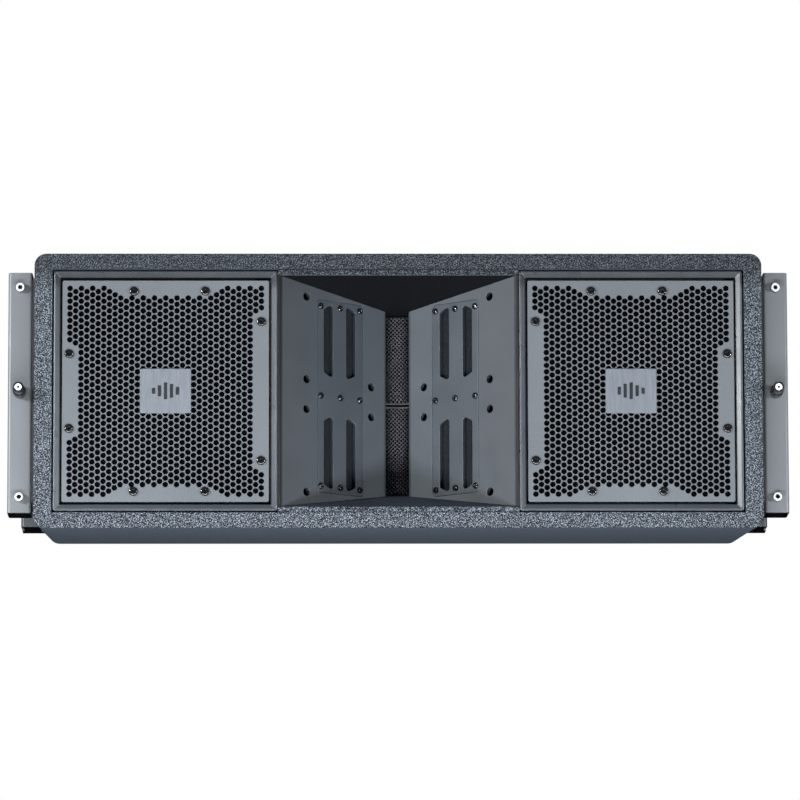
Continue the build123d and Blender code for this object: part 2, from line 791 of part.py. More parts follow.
def make_front_channel():
    middle = (FRONT_CAVITY_DEPTH[0] + FRONT_CAVITY_DEPTH[1]) / 2
    with BuildPart() as tube:
        add(channel(FRONT_CHANNEL_DEPTH, FRONT_CAVITY_DEPTH, FRONT_CHANNEL_HALF_H).part)
        for z in (-PIN_Z, PIN_Z):
            rod_x((CHANNEL_X[0] - 1, CHANNEL_X[1] + 1), middle, z, PIN_BORE_R, mode=Mode.SUBTRACT)
            rod_y(RIG_X, z, 2.95, (FRONT_CHANNEL_DEPTH[0] - 1, FRONT_CAVITY_DEPTH[0] + 1), mode=Mode.SUBTRACT)
        rod_y(RIG_X, 0, 5.05, (FRONT_CHANNEL_DEPTH[0] - 1, FRONT_CAVITY_DEPTH[0] + 1), mode=Mode.SUBTRACT)
    return tube


def make_front_link():
    middle = (FRONT_CAVITY_DEPTH[0] + FRONT_CAVITY_DEPTH[1]) / 2
    xs = (CAVITY_X[0] + SLIDE_GAP, CAVITY_X[1] - SLIDE_GAP)
    depths = (FRONT_CAVITY_DEPTH[0] + SLIDE_GAP, FRONT_CAVITY_DEPTH[1] - SLIDE_GAP)
    with BuildPart() as bar:
        box_between(xs, depths, FRONT_BAR_Z)
        chamfer(bar.faces().sort_by(Axis.Z)[-1].edges(), length=2.5)
        rod_x((xs[0] - 1, xs[1] + 1), middle, PIN_Z, PIN_BORE_R, mode=Mode.SUBTRACT)
        groove_depths = (FRONT_CAVITY_DEPTH[0] - 1, FRONT_CAVITY_DEPTH[0] + 5)
        box_between((RIG_X - 3.6, RIG_X + 3.6), groove_depths, (-80, 100), mode=Mode.SUBTRACT)
    return bar


def make_rear_channel():
    with BuildPart() as tube:
        add(channel(REAR_CHANNEL_DEPTH, REAR_CAVITY_DEPTH, REAR_CHANNEL_HALF_H).part)
        box_between((PLATE_X[0] + PANEL_GAP, CHANNEL_X[1] - 1), REAR_FOOT_DEPTH, REAR_FOOT_Z)
        box_between(CAVITY_X, REAR_CAVITY_DEPTH, (REAR_FOOT_Z[0] - 1, REAR_FOOT_Z[1] + 1), mode=Mode.SUBTRACT)
        rod_y(RIG_X, REAR_PIN_Z, PIN_BORE_R, (320, 360), mode=Mode.SUBTRACT)
        rod_y(RIG_X, -REAR_PIN_Z, REAR_PIN_R + RUNNING_GAP, (320, 360), mode=Mode.SUBTRACT)
    return tube


def make_rear_link():
    xs = (CAVITY_X[0] + SLIDE_GAP, CAVITY_X[1] - SLIDE_GAP)
    depths = (REAR_CAVITY_DEPTH[0] + SLIDE_GAP, REAR_CAVITY_DEPTH[1] - SLIDE_GAP)
    with BuildPart() as bar:
        box_between(xs, depths, REAR_BAR_Z)
        chamfer(bar.faces().sort_by(Axis.Z)[-1].edges(), length=2.0)
        for z in (REAR_PIN_Z, REAR_PIN_Z - 26, REAR_PIN_Z - 52):
            rod_y(RIG_X, z, PIN_BORE_R, (320, 360), mode=Mode.SUBTRACT)
    return bar


def make_rear_pin():
    profile = [
        (0, 325), (3, 325), (REAR_PIN_R, 326.5), (REAR_PIN_R, 354.1), (7, 354.1), (7.6, 355), (7.6, 359),
        (5, 361), (5, 366), (7, 367), (7, 370), (6, 371), (0, 371),
    ]
    with BuildPart() as pin:
        turned_y(RIG_X, -REAR_PIN_Z, profile)
    return pin


def make_plunger_barrel():
    bore = 3.0 + RUNNING_GAP
    front = FRONT_CHANNEL_DEPTH[0]
    inner = FRONT_CAVITY_DEPTH[0] - 0.1
    with BuildPart() as barrel:
        turned_y(RIG_X, 0, [
            (bore, front - 18), (5.9, front - 18), (6.45, front - 17), (6.45, front),
            (5, front), (5, inner), (bore, inner),
        ])
    return barrel


def make_plunger():
    tip, shoulder = KNOB_DEPTH
    nose = FRONT_CAVITY_DEPTH[0] + 3.5
    profile = [
        (0, tip + 2), (1.2, tip + 2), (1.2, tip), (3.4, tip), (3.4, tip + 0.5), (4.5, tip + 0.5),
        (5.45, tip + 1.4), (5.45, shoulder), (3, shoulder), (3, nose - 1.5), (2, nose), (0, nose),
    ]
    with BuildPart() as plunger:
        turned_y(RIG_X, 0, profile)
    return plunger


def channel_screw(z):
    """Socket head cap screw in the front wall of the channel."""
    with BuildPart() as screw:
        front = FRONT_CHANNEL_DEPTH[0]
        rod_y(RIG_X, z, 4.4, (front - 7, front))
        chamfer(screw.edges().sort_by(Axis.Y)[0], length=0.6)
        with BuildSketch(Plane.XZ.offset(-y(front - 7))):
            with Locations((RIG_X, z)):
                RegularPolygon(2.6, 6)
        extrude(amount=-3.6, mode=Mode.SUBTRACT)
        rod_y(RIG_X, z, 2.9, (front, FRONT_CAVITY_DEPTH[0] - 0.1))
    return screw


def make_channel_screws():
    with BuildPart() as screws:
        for z in (-PIN_Z, PIN_Z):
            add(channel_screw(z).part)
    return screws


def rig_bolt(depth, z):
    """Button head bolt through the side plate into the cabinet wall."""
    with BuildPart() as bolt:
        rod_x((PLATE_X[1], PLATE_X[1] + 4.2), depth, z, 7.5)
        fillet(bolt.edges().sort_by(Axis.X)[-1], radius=2.8)
        with BuildSketch(Plane.YZ.offset(PLATE_X[1] + 4.2)):
            with Locations((y(depth), z)):
                RegularPolygon(2.9, 6)
        extrude(amount=-2.6, mode=Mode.SUBTRACT)
        rod_x((CAVITY_HALF_W + 1, PLATE_X[1]), depth, z, RIG_BOLT_R)
    return bolt


def make_rig_bolts():
    with BuildPart() as bolts:
        for depth, z in RIG_BOLT_PLACES:
            add(rig_bolt(depth, z).part)
    return bolts


def save(builder, name):
    """Label a sub-part and write its STEP file."""
    builder.part.label = name
    export_step(builder.part, f"parts/{name}.step")


def save_sides(right, name):
    """Write a right-hand piece and its left-hand twin as two sub-parts."""
    save(right, f"{name}_right")
    save(mirrored(right), f"{name}_left")


os.makedirs("parts", exist_ok=True)

save(make_carcass(), "cabinet_carcass")
save(make_rear_panel(), "rear_panel")
save(pair(make_baffle()), "woofer_baffles")
save(pair(make_divider()), "horn_dividers")
save(make_shelves(make_shelf()), "horn_shelves")
save(pair(make_bezel()), "bezels")
save_sides(make_grille(), "grille")
save(pair(make_foam()), "grille_foams")
save(pair(make_badge()), "badges")
save(pair(make_grille_screws()), "grille_screws")

save(pair(make_basket()), "woofer_baskets")
save(pair(make_top_plate()), "woofer_top_plates")
save(pair(make_magnet()), "woofer_magnets")
save(pair(make_yoke()), "woofer_yokes")
save(pair(make_woofer_screws()), "woofer_screws")
save_sides(make_surround(), "woofer_surround")
save_sides(make_spider(), "woofer_spider")
save_sides(make_cone(), "woofer_cone")
save_sides(make_dust_cap(), "dust_cap")
save_sides(make_voice_coil(), "voice_coil")

save_sides(make_wing(), "wing")
save(pair(make_slot_plate()), "slot_plates")
save(pair(make_slot_screws()), "slot_plate_screws")
save(pair(make_slot_fabric()), "slot_fabrics")
save(pair(make_mid_baskets()), "mid_baskets")
save(pair(make_mid_motors()), "mid_motors")
save_sides(make_mid_cones(), "mid_cones")
save_sides(make_mid_surrounds(), "mid_surrounds")
save(make_pair_over_middle(make_waveguide()), "hf_waveguides")
save(make_pair_over_middle(make_screen()), "hf_screens")
save(make_pair_over_middle(make_hf_driver()), "hf_drivers")
save(make_pair_over_middle(make_diaphragm()), "hf_diaphragms")

save(make_crossover_board(), "crossover_board")
save(make_crossover_parts(), "crossover_parts")
save(make_input_panel(), "input_panel")
save(make_input_connectors(), "input_connectors")
save(pair(make_handle_cup()), "handle_cups")

save(pair(make_side_plate()), "side_plates")
save(pair(make_front_channel()), "front_channels")
save(pair(make_rear_channel()), "rear_channels")
save_sides(make_front_link(), "front_link")
save_sides(make_rear_link(), "rear_link")
save_sides(make_rear_pin(), "rear_pin")
save(pair(make_plunger_barrel()), "plunger_barrels")
save_sides(make_plunger(), "plunger")
save(pair(make_channel_screws()), "channel_screws")
save(pair(make_rig_bolts()), "rig_bolts")
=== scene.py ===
"""Looks for the line array speaker: materials, woven screens and cloth, foam, studio light and camera."""

import json
import math

import bpy
import numpy as np
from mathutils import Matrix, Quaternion, Vector


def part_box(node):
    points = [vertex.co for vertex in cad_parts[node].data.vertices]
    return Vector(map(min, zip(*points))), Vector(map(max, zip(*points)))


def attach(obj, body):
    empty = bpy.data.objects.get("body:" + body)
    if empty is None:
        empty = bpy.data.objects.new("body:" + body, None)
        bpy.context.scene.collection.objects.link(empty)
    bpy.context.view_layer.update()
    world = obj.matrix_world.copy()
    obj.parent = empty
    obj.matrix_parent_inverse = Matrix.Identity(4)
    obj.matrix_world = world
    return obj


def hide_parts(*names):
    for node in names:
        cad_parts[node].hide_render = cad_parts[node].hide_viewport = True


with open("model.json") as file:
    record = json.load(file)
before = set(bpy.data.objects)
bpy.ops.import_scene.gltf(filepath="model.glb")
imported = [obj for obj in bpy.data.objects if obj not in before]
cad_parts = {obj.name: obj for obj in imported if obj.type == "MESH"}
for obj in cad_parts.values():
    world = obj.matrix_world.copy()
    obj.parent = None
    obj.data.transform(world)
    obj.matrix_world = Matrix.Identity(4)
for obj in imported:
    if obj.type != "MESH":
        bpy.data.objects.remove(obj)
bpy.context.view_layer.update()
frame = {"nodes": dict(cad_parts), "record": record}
nodes = frame["nodes"]
scene = bpy.context.scene
rng = np.random.default_rng(7)

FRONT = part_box("cabinet_carcass")[0].y
CAVITY_X = (0.3720, 0.3907)  # inside of the rigging channels, as distances off the middle
SHARP = 0.0004  # width over which one finish turns into another
# near black for painted shade in gaps, seams and hole walls
PAINTED_SHADE_BLACK = (0.004, 0.004, 0.005)


# ---------------------------------------------------------------- materials
class Graph:
    """Small helper round one material's node tree."""

    def __init__(self, name):
        self.material = bpy.data.materials.new(name)
        self.material.use_nodes = True
        self.tree = self.material.node_tree
        self.tree.nodes.clear()
        self.out = self.node("ShaderNodeOutputMaterial")
        self.coord = self.node("ShaderNodeTexCoord").outputs["Object"]

    def node(self, kind, **settings):
        made = self.tree.nodes.new(kind)
        for key, value in settings.items():
            setattr(made, key, value)
        return made

    def link(self, source, target):
        self.tree.links.new(source, target)

    def put(self, target, value):
        if isinstance(value, (int, float, tuple)):
            target.default_value = value
        else:
            self.link(value, target)

    def noise(self, scale, detail=3.0, stretch=(1, 1, 1), rough=0.55):
        mapping = self.node("ShaderNodeMapping")
        mapping.inputs["Scale"].default_value = stretch
        self.link(self.coord, mapping.inputs["Vector"])
        made = self.node("ShaderNodeTexNoise")
        made.inputs["Scale"].default_value = scale
        made.inputs["Detail"].default_value = detail
        made.inputs["Roughness"].default_value = rough
        self.link(mapping.outputs[0], made.inputs["Vector"])
        return made.outputs[0]

    def math(self, operation, a, b=0.0, clamp=False):
        made = self.node("ShaderNodeMath", operation=operation, use_clamp=clamp)
        self.put(made.inputs[0], a)
        self.put(made.inputs[1], b)
        return made.outputs[0]

    def ramp(self, value, low, high):
        made = self.node("ShaderNodeMapRange", clamp=True)
        self.put(made.inputs["Value"], value)
        made.inputs["From Min"].default_value = low
        made.inputs["From Max"].default_value = high
        return made.outputs[0]

    def mix(self, factor, a, b):
        made = self.node("ShaderNodeMix", data_type="RGBA")
        self.put(made.inputs[0], factor)
        for socket, value in ((made.inputs[6], a), (made.inputs[7], b)):
            self.put(socket, value + (1.0,) if isinstance(value, tuple) else value)
        return made.outputs[2]

    def axis(self, name):
        made = self.node("ShaderNodeSeparateXYZ")
        self.link(self.coord, made.inputs[0])
        return made.outputs[name]

    def facing(self, name):
        """One part of the true surface normal."""
        made = self.node("ShaderNodeSeparateXYZ")
        self.link(self.node("ShaderNodeNewGeometry").outputs["True Normal"], made.inputs[0])
        return made.outputs[name]

    def rounded(self, radius):
        made = self.node("ShaderNodeBevel", samples=4)
        made.inputs["Radius"].default_value = radius
        return made.outputs[0]

    def edge(self, rounded_normal):
        """1 near a sharp edge, 0 on flats."""
        geometry = self.node("ShaderNodeNewGeometry")
        dot = self.node("ShaderNodeVectorMath", operation="DOT_PRODUCT")
        self.link(rounded_normal, dot.inputs[0])
        self.link(geometry.outputs["Normal"], dot.inputs[1])
        return self.ramp(dot.outputs["Value"], 0.998, 0.90)

    def bump(self, height, distance, strength, normal):
        made = self.node("ShaderNodeBump")
        made.inputs["Strength"].default_value = strength
        made.inputs["Distance"].default_value = distance
        self.link(height, made.inputs["Height"])
        self.link(normal, made.inputs["Normal"])
        return made.outputs[0]

    def surface(self, color, roughness, metallic, normal, sheen=0.0, specular=0.5, coat=0.0):
        shader = self.node("ShaderNodeBsdfPrincipled")
        self.put(shader.inputs["Base Color"], color)
        self.put(shader.inputs["Roughness"], roughness)
        self.put(shader.inputs["Metallic"], metallic)
        self.put(shader.inputs["Specular IOR Level"], specular)
        self.put(shader.inputs["Sheen Weight"], sheen)
        self.put(shader.inputs["Coat Weight"], coat)
        self.link(normal, shader.inputs["Normal"])
        self.link(shader.outputs[0], self.out.inputs["Surface"])
        return self.material


def tint(color, factor):
    return tuple(min(1.0, c * factor) for c in color)


def finish_of(name, color, rough, metallic=0.0, grain=900.0, depth=0.00006, vary=0.14, edge=0.35,
              radius=0.0004, sheen=0.0, specular=0.5, stretch=(1, 1, 1), coat=0.0, dark_from=None,
              dark_off=None, dark_walls=False, frame_of=None, cavity=None, bright_tip=None, seam_shade=None,
              top_shade=None, outward_shade=None):
    """A coated, moulded or machined surface: cloudy colour, fine grain, and edges painted brighter, part
    rubbed wear and part painted highlight.

    dark_from: painted shade that blackens it behind a depth.
    dark_off: painted shade that blackens it beyond a height off the middle.
    dark_walls: painted shade that blackens cut edges and the narrow rim round them.
    frame_of: painted shade lines that blacken the edge next to that node and the outer border.
    cavity: painted shade that blackens the inside of a tube, given as its |x| and y ranges, and its lower
    end.
    bright_tip: whitens what lies ahead of a depth.
    seam_shade: painted shade that blackens it beyond a distance off the middle.
    top_shade: share of painted shade that darkens the uppermost part.
    outward_shade: painted shade that darkens it outwards, from one distance off the middle to another, by a
    share."""
    g = Graph(name)
    normal = g.rounded(radius)
    cloud = g.noise(9.0, 4.0)
    fine = g.noise(grain, 2.0, stretch)
    body = g.mix(g.ramp(cloud, 0.3, 0.7), tint(color, 1 - vary), tint(color, 1 + vary))
    body = g.mix(g.math("MULTIPLY", g.ramp(fine, 0.35, 0.75), 0.35), body, tint(color, 1.45))
    # edges painted brighter: part rubbed wear, part painted highlight along the rounded edges
    rubbed_and_highlit_edge = g.math("MULTIPLY", g.edge(normal), edge)
    scuffed_and_highlit_edge = g.math("MULTIPLY", rubbed_and_highlit_edge, g.ramp(g.noise(60.0, 3.0), 0.2, 0.6))
    body = g.mix(scuffed_and_highlit_edge, body, tint(color, 2.6))
    shine = specular
    # painted shade: the uppermost part darkened
    if top_shade:
        body = g.mix(g.math("MULTIPLY", g.ramp(g.axis("Z"), 0.104, 0.110), top_shade), body, tint(color, 0.1))
    # painted shade: darker outwards, standing for a curved surface turning from the light
    if outward_shade:
        outward = g.ramp(g.math("ABSOLUTE", g.axis("X")), outward_shade[0], outward_shade[1])
        body = g.mix(g.math("MULTIPLY", outward, outward_shade[2]), body, tint(color, 0.3))
    # painted shade: a black line at the outer edge, next to the bezel
    if seam_shade:
        outward = g.ramp(g.math("ABSOLUTE", g.axis("X")), seam_shade, seam_shade + SHARP)
        body = g.mix(outward, body, PAINTED_SHADE_BLACK)
    # painted shade: the inside and lower end of the tube blackened, its shine taken away
    if cavity:
        (x_low, x_high), (y_low, y_high) = cavity
        across = g.math("SUBTRACT", g.math("ABSOLUTE", g.axis("X")), (x_low + x_high) / 2)
        along = g.math("SUBTRACT", g.axis("Y"), (y_low + y_high) / 2)
        across = g.math("LESS_THAN", g.math("ABSOLUTE", across), (x_high - x_low) / 2)
        along = g.math("LESS_THAN", g.math("ABSOLUTE", along), (y_high - y_low) / 2)
        within = g.math("MULTIPLY", across, along)
        hidden = g.math("MAXIMUM", within, g.ramp(g.facing("Z"), -0.5, -0.8))
        body = g.mix(hidden, body, (0.003, 0.003, 0.004))
        shine = g.math("MULTIPLY", g.math("SUBTRACT", 1.0, hidden), specular)
    if bright_tip:
        body = g.mix(g.math("LESS_THAN", g.axis("Y"), bright_tip), body, (0.80, 0.81, 0.83))
    # painted shade: hole walls and their rims blackened, their shine taken away
    if dark_walls:
        rim = g.edge(g.rounded(0.0008))
        wall = g.math("MAXIMUM", g.ramp(g.math("ABSOLUTE", g.facing("Y")), 0.7, 0.4), rim)
        body = g.mix(wall, body, PAINTED_SHADE_BLACK)
        shine = g.math("MULTIPLY", g.math("SUBTRACT", 1.0, wall), specular)
    # painted shade: everything behind the given depth blackened
    if dark_from:
        body = g.mix(g.ramp(g.axis("Y"), dark_from, dark_from + SHARP), body, (0.012, 0.012, 0.014))
    # painted shade: all but a narrow band round the middle blackened
    if dark_off:
        level = g.ramp(g.math("ABSOLUTE", g.axis("Z")), dark_off, dark_off + SHARP)
        body = g.mix(level, body, (0.004, 0.004, 0.004))
    # painted shade: black lines along the inner edge next to that node and along the outer border
    if frame_of:
        low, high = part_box(frame_of)
        side = g.math("SUBTRACT", g.math("ABSOLUTE", g.axis("X")), (low.x + high.x) / 2)
        side = g.math("SUBTRACT", g.math("ABSOLUTE", side), (high.x - low.x) / 2)
        level = g.math("SUBTRACT", g.math("ABSOLUTE", g.axis("Z")), (high.z - low.z) / 2)
        upper = g.math("SUBTRACT", g.axis("Z"), (high.z - low.z) / 2)
        off = g.math("MAXIMUM", side, level)
        beside = g.ramp(g.math("MAXIMUM", side, upper), -0.0006, -0.0002)
        inside = g.math("MULTIPLY", g.ramp(off, 0.0030, 0.0026), beside)
        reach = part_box("bezels")[1].z - (high.z - low.z) / 2
        body = g.mix(inside, body, (0.008, 0.009, 0.011))
        body = g.mix(g.ramp(off, reach - 0.0010, reach - 0.0006), body, (0.008, 0.009, 0.011))
    smudge = g.math("MULTIPLY", g.math("SUBTRACT", g.noise(30.0, 3.0), 0.5), 0.22)
    roughness = g.math("ADD", smudge, rough)
    grainy = g.bump(fine, depth, 0.7, normal)
    return g.surface(body, roughness, metallic, grainy, sheen, shine, coat)


def textured_coat(name, color, inner=None, inner_depth=0.0):
    """Sprayed pebble coating, its grain painted with highlight and shade, with painted shade on the top
    strip, tucked sides, edges and a flatter, bluer underside; behind inner_depth it turns to a smooth dark
    finish, with painted shade on its downward faces.
    """
    g = Graph(name)
    normal = g.rounded(0.0012)
    pebble = g.noise(860.0, 2.0, rough=0.6)
    coarse = g.noise(560.0, 2.0)
    below = g.ramp(g.facing("Z"), -0.75, -0.97)
    height = g.math("ADD", pebble, g.math("MULTIPLY", coarse, 0.6))
    # painted highlight and shade on the grain: pits darkened and tops brightened, along the same noise as the
    # bumps
    body = g.mix(g.ramp(pebble, 0.42, 0.53), tint(color, 0.05), tint(color, 0.95))
    body = g.mix(g.ramp(pebble, 0.53, 0.66), body, tint(color, 4.2))
    # painted shade: the upper strip darkened
    upper = g.ramp(g.axis("Z"), 0.100, 0.124)
    body = g.mix(g.math("MULTIPLY", upper, 0.55), body, tint(color, 0.1))
    # painted shade: side faces near the front blackened, in the gap by the rigging
    sideways = g.ramp(g.math("ABSOLUTE", g.facing("X")), 0.7, 0.9)
    gap_shade = g.math("MULTIPLY", sideways, g.ramp(g.axis("Y"), FRONT + 0.04, FRONT + 0.02))
    body = g.mix(gap_shade, body, PAINTED_SHADE_BLACK)
    # painted shade: downward faces take a flatter, bluer tone without the painted highlights
    underside = (0.056, 0.072, 0.094)
    under = g.mix(g.ramp(pebble, 0.3, 0.7), tint(underside, 1.05), tint(underside, 1.45))
    body = g.mix(below, body, under)
    # painted shade: dark lines along the edges
    body = g.mix(g.math("MULTIPLY", g.edge(normal), 0.7), body, tint(color, 0.1))
    shine = 0.16
    if inner:
        deep = g.ramp(g.axis("Y"), inner_depth, inner_depth + 0.0006)
        smooth = g.mix(g.ramp(g.noise(14.0, 3.0), 0.3, 0.7), tint(inner, 0.75), tint(inner, 1.25))
        # painted shade: downward faces of the inner finish darkened
        smooth = g.mix(g.ramp(g.facing("Z"), -0.2, -0.6), smooth, tint(inner, 0.08))
        body = g.mix(deep, body, smooth)
        shine = g.math("SUBTRACT", 0.16, g.math("MULTIPLY", deep, 0.06))
    roughness = g.ramp(coarse, -0.9, 1.1)
    return g.surface(body, roughness, 0.0, g.bump(height, 0.0006, 0.9, normal), 0.0, shine)


def plywood(name):
    """Birch ply: long grain on the faces, plies on cut edges."""
    g = Graph(name)
    normal = g.rounded(0.0006)
    grain = g.noise(40.0, 5.0, (1, 12, 1))
    plies = g.node("ShaderNodeTexWave", wave_type="BANDS", bands_direction="Y")
    plies.inputs["Scale"].default_value = 110.0
    plies.inputs["Distortion"].default_value = 0.6
    g.link(g.coord, plies.inputs["Vector"])
    body = g.mix(g.ramp(grain, 0.3, 0.7), (0.42, 0.28, 0.15), (0.62, 0.46, 0.28))
    body = g.mix(g.math("MULTIPLY", plies.outputs[0], 0.25), body, (0.25, 0.15, 0.08))
    return g.surface(body, 0.65, 0.0, g.bump(grain, 0.0002, 0.5, normal), 0.0, 0.3)


def cloth_finish(name, color, half_width=None):
    """Thread finish for woven pieces, with painted shade darkening the sides of a narrow one."""
    g = Graph(name)
    normal = g.node("ShaderNodeNewGeometry").outputs["Normal"]
    fibre = g.noise(2500.0, 2.0)
    cloud = g.noise(25.0, 3.0)
    body = g.mix(g.ramp(cloud, 0.3, 0.7), tint(color, 0.8), tint(color, 1.2))
    body = g.mix(g.ramp(fibre, 0.45, 0.8), body, tint(color, 1.7))
    # painted shade: the sides of a narrow piece darkened, as on a bulged screen
    if half_width:
        side = g.ramp(g.math("ABSOLUTE", g.axis("X")), half_width * 0.35, half_width)
        body = g.mix(side, body, tint(color, 0.25))
    return g.surface(body, 0.8, 0.0, g.bump(fibre, 0.00004, 0.6, normal), 0.05, 0.3)


def badge_finish(name):
    """Satin plate whose raised mark is dark."""
    g = Graph(name)
    normal = g.rounded(0.0003)
    fine = g.noise(700.0, 2.0, (1, 1, 0.08))
    plate = g.mix(g.ramp(fine, 0.3, 0.7), (0.118, 0.130, 0.149), (0.146, 0.160, 0.184))
    raised = g.ramp(g.axis("Y"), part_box("badges")[0].y + 0.00038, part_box("badges")[0].y + 0.00030)
    dark = g.mix(g.noise(120.0), (0.006, 0.007, 0.009), (0.014, 0.016, 0.02))
    body = g.mix(raised, plate, dark)
    return g.surface(body, g.ramp(fine, -1.4, 2.2), 0.1, g.bump(fine, 0.00003, 0.5, normal), 0.0, 0.4)


BLACK = (0.005, 0.0055, 0.0065)
ZINC = ((0.78, 0.79, 0.81), 0.30, 0.35, 500, 0.00003, 0.1, 0.1, 0.0003)
CHANNEL_POWDER = ((0.124, 0.132, 0.142), 0.42, 0.0, 1000, 0.00008, 0.10, 0.6, 0.0006)
made = {
    "coated_ply": textured_coat("cabinet_coat", (0.056, 0.064, 0.076)),
    "horn_lip": textured_coat("horn_shelf_coat", (0.044, 0.050, 0.060), (0.042, 0.049, 0.066),
                              FRONT + 0.0016),
    "baffle_paint": finish_of("baffle_paint", (0.008, 0.008, 0.009), 0.7, 0.0, 500, 0.0002),
    "dark_plate": finish_of("plate_black", (0.012, 0.013, 0.015), 0.5, 0.0, 700, 0.0001),
    "bare_ply": plywood("birch_ply"),
    # painted shade: top rail darkened, black lines along the inner and outer edges
    "bezel_plastic": finish_of("bezel_satin", (0.049, 0.056, 0.067), 0.30, grain=1500, edge=0.6,
                               radius=0.0017, frame_of="grille_right", top_shade=0.6),
    # painted shade in the grille holes
    "grille_steel": finish_of("grille_powder", (0.098, 0.107, 0.119), 0.44, 0.0, 1300, 0.00005, 0.08, 0.15,
                              0.0003, dark_walls=True),
    "foam": finish_of("open_foam", (0.0016, 0.0016, 0.0022), 0.9, grain=500, depth=0.0004, vary=0.5,
                      edge=0.0, specular=0.02),
    "badge_metal": badge_finish("badge_plate"),
    "black_fastener": finish_of("black_oxide", BLACK, 0.14, 0.0, 700, 0.00003, 0.2, 0.3, 0.0003,
                                specular=0.8),
    "bright_fastener": finish_of("zinc", *ZINC),
    # painted shade: hex sockets and sides of the screw heads blackened
    "channel_screw": finish_of("screw_zinc", *ZINC, dark_from=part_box("channel_screws")[0].y + 0.0010),
    "driver_frame": finish_of("cast_frame", (0.03, 0.03, 0.034), 0.5, 0.2, 500, 0.0002, radius=0.0006),
    "steel": finish_of("plated_steel", (0.42, 0.42, 0.40), 0.32, 1.0, 300, 0.00004),
    "ferrite": finish_of("ferrite_ring", (0.022, 0.022, 0.024), 0.6, 0.0, 800, 0.0002),
    "suspension": finish_of("rubber_roll", (0.014, 0.014, 0.015), 0.62, 0.0, 1600, 0.00008, sheen=0.1),
    "cloth": cloth_finish("spider_cloth", (0.40, 0.26, 0.10)),
    "cone_paper": finish_of("paper_cone", (0.020, 0.020, 0.023), 0.8, 0.0, 500, 0.0003, 0.25, sheen=0.2),
    "coil": finish_of("coil_winding", (0.55, 0.24, 0.10), 0.35, 0.9, 2000, 0.0001, stretch=(1, 12, 1)),
    # painted shade: wing darkened outwards, black line at its edge by the bezel
    "horn_plastic": finish_of("horn_satin", (0.043, 0.051, 0.061), 0.40, 0.0, 1100, 0.00006, 0.10, 0.8,
                              0.0008, outward_shade=(0.03, 0.115, 0.42), seam_shade=0.1166),
    "slot_insert": finish_of("slot_insert_satin", (0.034, 0.041, 0.050), 0.36, 0.0, 1100, 0.00005, 0.10,
                             1.0, 0.0010),
    "screen": cloth_finish("screen_wire", (0.085, 0.081, 0.095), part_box("hf_screens")[1].x),
    "slot_cloth": cloth_finish("slot_thread", (0.006, 0.009, 0.0135)),
    # painted shade: the waveguide blackened behind the screen, all but its lips
    "waveguide_alloy": finish_of("cast_alloy", (0.10, 0.10, 0.105), 0.45, 0.2, 500, 0.0001, dark_off=0.0028),
    "diaphragm": finish_of("foil_dome", (0.06, 0.06, 0.065), 0.3, 0.8),
    "circuit_board": finish_of("board_lacquer", (0.01, 0.10, 0.04), 0.3, 0.0, 400, 0.00005, coat=0.4),
    "components": finish_of("crossover_lacquer", (0.28, 0.10, 0.04), 0.35, 0.1, 1500, 0.0002, 0.3),
    "socket_plastic": finish_of("socket_satin", (0.022, 0.026, 0.034), 0.42, 0.0, 1200, 0.00008),
    "rig_paint": finish_of("rig_powder", *CHANNEL_POWDER),
    # painted shade inside the front channels
    "front_channel": finish_of("channel_powder", *CHANNEL_POWDER,
                               cavity=(CAVITY_X, (FRONT + 0.0178, FRONT + 0.0502))),
    # painted shade: a darker copy of the channel powder for the rear channels
    "rear_channel": finish_of("rear_channel_powder_shaded", (0.040, 0.044, 0.050), 0.42, 0.0, 1000, 0.00008, 0.10,
                              0.9, 0.0006, cavity=(CAVITY_X, (FRONT + 0.3390, FRONT + 0.3510))),
    "link_steel": finish_of("link_zinc", (0.42, 0.44, 0.47), 0.34, 0.9, 260, 0.00008, 0.12,
                            stretch=(1, 1, 0.1)),
    "black_knob": finish_of("knob_black", BLACK, 0.26, 0.0, 900, 0.00004, 0.2, 0.35, 0.0004, specular=0.65,
                            bright_tip=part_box("plunger_left")[0].y + 0.00035),
}

# each node takes its record slot's finish, or a finish of its own
slot_of = {row["node"]: row["material_slot"] for row in frame["record"]["subparts"]}
own_finish = {
    "horn_shelves": "horn_lip",
    "slot_plates": "slot_insert",
    "woofer_baffles": "baffle_paint",
    "horn_dividers": "baffle_paint",
    "channel_screws": "channel_screw",
    "front_channels": "front_channel",
    "rear_channels": "rear_channel",
    "plunger_barrels": "black_knob",
    "side_plates": "dark_plate",
}
for name, obj in nodes.items():
    obj.data.materials.clear()
    obj.data.materials.append(made[own_finish.get(name, slot_of[name])])


# ---------------------------------------------------------------- pieces built here
def new_piece(name, verts, faces, material, body):
    mesh = bpy.data.meshes.new(name)
    mesh.from_pydata([tuple(v) for v in verts], [], [tuple(f) for f in faces])
    mesh.update()
    obj = bpy.data.objects.new(name, mesh)
    scene.collection.objects.link(obj)
    mesh.materials.append(made[material])
    mesh.polygons.foreach_set("use_smooth", [True] * len(mesh.polygons))
    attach(obj, body)
    return obj


def clip_line(point, direction, half_u, half_v):
    """Stretch of an endless line that lies inside a rectangle, as two distances, or None."""
    low, high = -1e9, 1e9
    for p, d, half in ((point[0], direction[0], half_u), (point[1], direction[1], half_v)):
        if abs(d) < 1e-9:
            if abs(p) > half:
                return None
            continue
        a, b = sorted(((-half - p) / d, (half - p) / d))
        low, high = max(low, a), min(high, b)
    return (low, high) if high - low > 1e-4 else None


